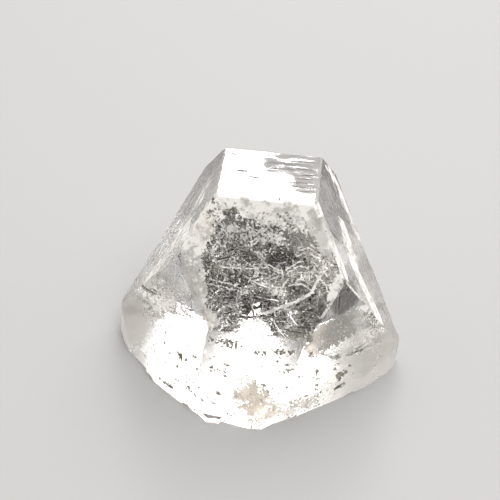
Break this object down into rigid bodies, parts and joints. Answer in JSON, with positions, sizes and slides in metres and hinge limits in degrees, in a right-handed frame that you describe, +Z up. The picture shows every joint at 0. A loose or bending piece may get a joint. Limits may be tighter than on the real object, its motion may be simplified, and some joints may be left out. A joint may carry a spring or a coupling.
{
  "type": "apophyllite point",
  "caption": "Clear natural apophyllite crystal tip with a flat top facet, split flat at its base and standing on it.",
  "frame": {"origin": "middle of the crystal's box, on the surface that its split base stands on", "axes": "+Z up along the crystal's c axis, -Y towards the broad front pyramid face, +X to the right as seen from the front"},
  "size_m": [0.022, 0.0222, 0.0151],
  "materials": {
    "crystal": "clear with milky veils, bright vitreous faces and a pearly split base"
  },
  "bodies": {
    "root": {"crystal": "crystal"}
  },
  "joints": []
}
